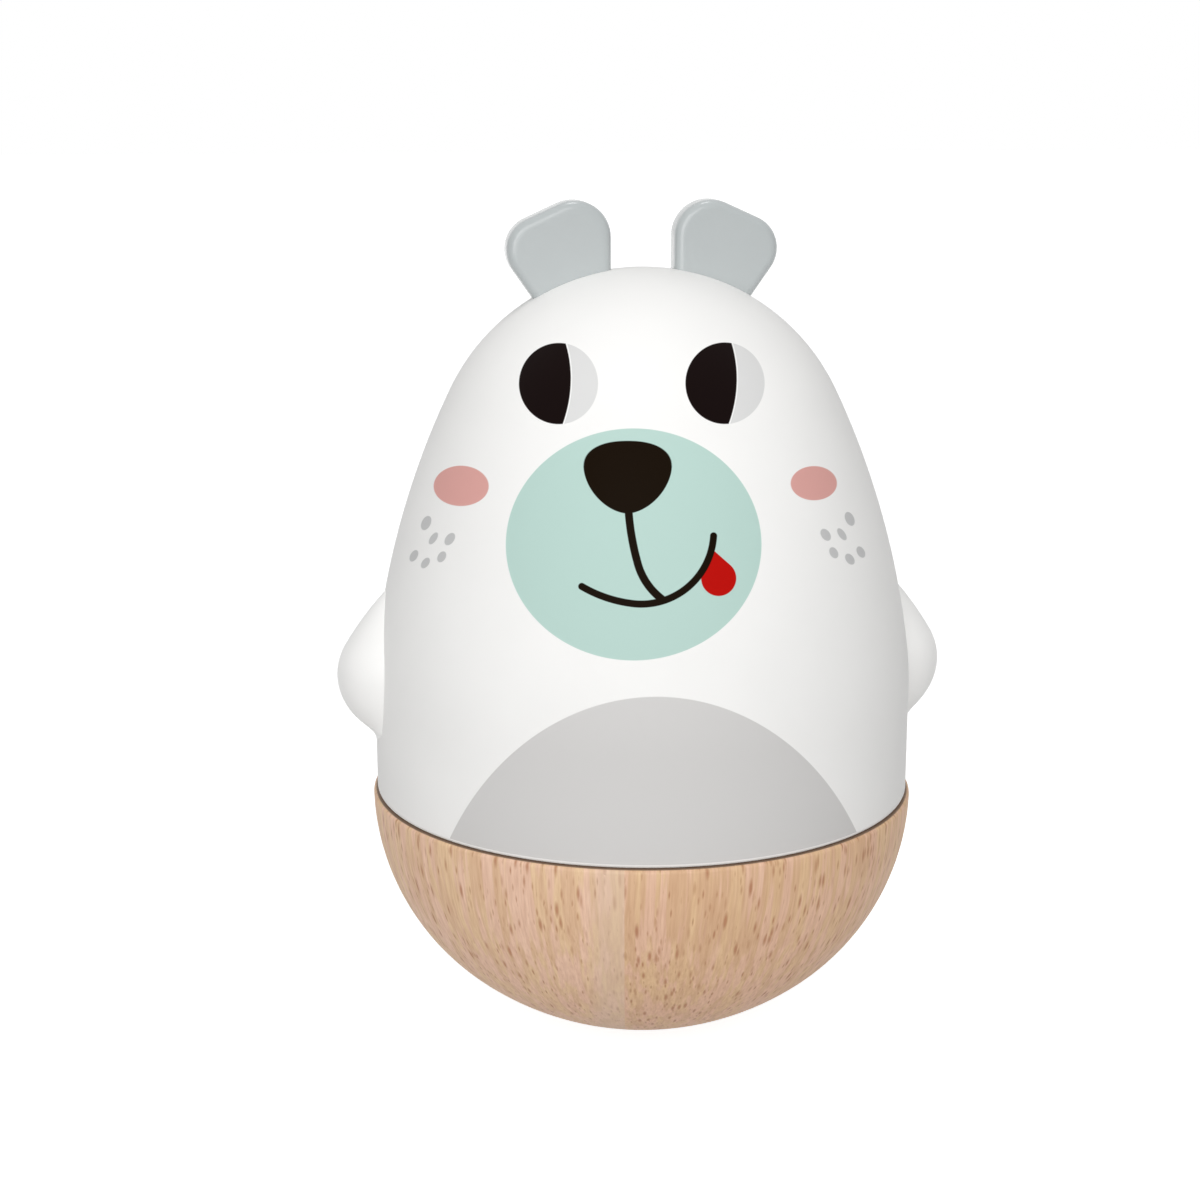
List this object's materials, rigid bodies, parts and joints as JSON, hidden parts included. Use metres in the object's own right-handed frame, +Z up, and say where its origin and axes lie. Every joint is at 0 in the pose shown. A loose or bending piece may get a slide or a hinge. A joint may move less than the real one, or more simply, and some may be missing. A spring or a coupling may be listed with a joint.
{
  "type": "roly poly toy",
  "caption": "Weighted wooden half-ball that rocks back upright, under a hollow egg-shaped body with plate ears, teardrop arms and a printed animal face.",
  "frame": {"origin": "the middle of the base's small flat foot, where the upright toy stands on the table", "axes": "+Z up along the body's axis; the printed face looks towards -Y; +X is the viewer's right, seen from the front"},
  "size_m": [0.0926, 0.0824, 0.126],
  "materials": {
    "beech": "fine vertical grain with short flecks under a thin matt oil",
    "shell_white": "satin white, with a printed face and belly",
    "ear_grey": "satin light grey paint",
    "arm_white": "satin white paint",
    "weight_steel": "turned steel",
    "zinc_steel": "bright zinc plate",
    "plywood": "plain birch face"
  },
  "bodies": {
    "root": {"wooden_base": "beech", "counterweight": "weight_steel", "weight_washer": "zinc_steel", "weight_screw": "zinc_steel", "pocket_cover": "plywood", "cover_screws": "zinc_steel", "body_shell": "shell_white", "left_ear": "ear_grey", "right_ear": "ear_grey", "ear_washers": "zinc_steel", "ear_screws": "zinc_steel", "left_arm": "arm_white", "right_arm": "arm_white", "arm_washers": "zinc_steel", "arm_screws": "zinc_steel"}
  },
  "joints": []
}
